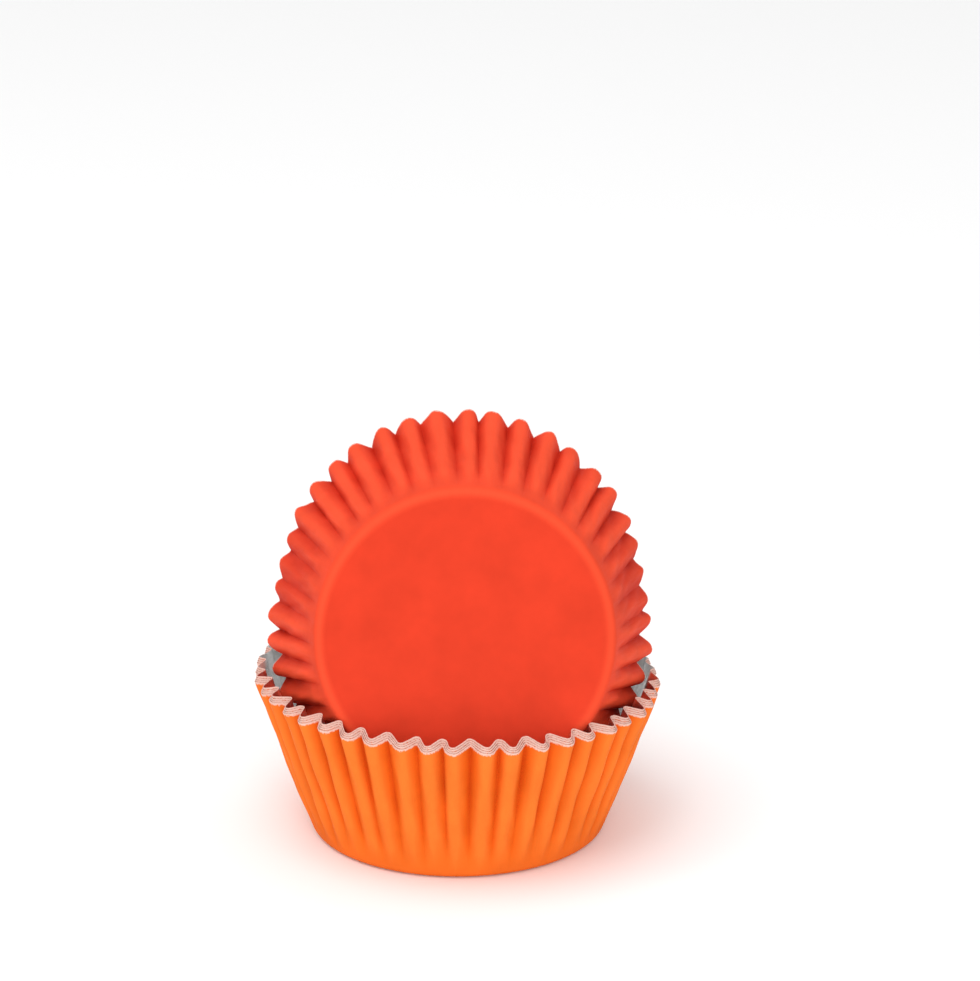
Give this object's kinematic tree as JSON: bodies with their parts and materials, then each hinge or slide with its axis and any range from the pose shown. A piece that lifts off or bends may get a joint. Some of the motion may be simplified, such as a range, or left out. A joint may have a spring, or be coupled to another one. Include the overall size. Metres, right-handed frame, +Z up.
{
  "type": "stack of cupcake liners",
  "caption": "Nested stack of pleated, flared, foil-lined paper cupcake liners standing upright, with a second nested stack lying on its side in its mouth.",
  "frame": {"origin": "centre of the face that the upright stack stands on", "axes": "+Z up along the upright stack's axis; the lying stack's base faces -Y"},
  "size_m": [0.0706, 0.0703, 0.0718],
  "materials": {
    "orange_paper": "satin",
    "red_paper": "satin"
  },
  "bodies": {
    "root": {"orange_liner_1": "orange_paper", "orange_liner_2": "orange_paper", "orange_liner_3": "orange_paper", "orange_liner_4": "orange_paper", "red_liner_1": "red_paper", "red_liner_2": "red_paper", "red_liner_3": "red_paper", "red_liner_4": "red_paper"}
  },
  "joints": []
}
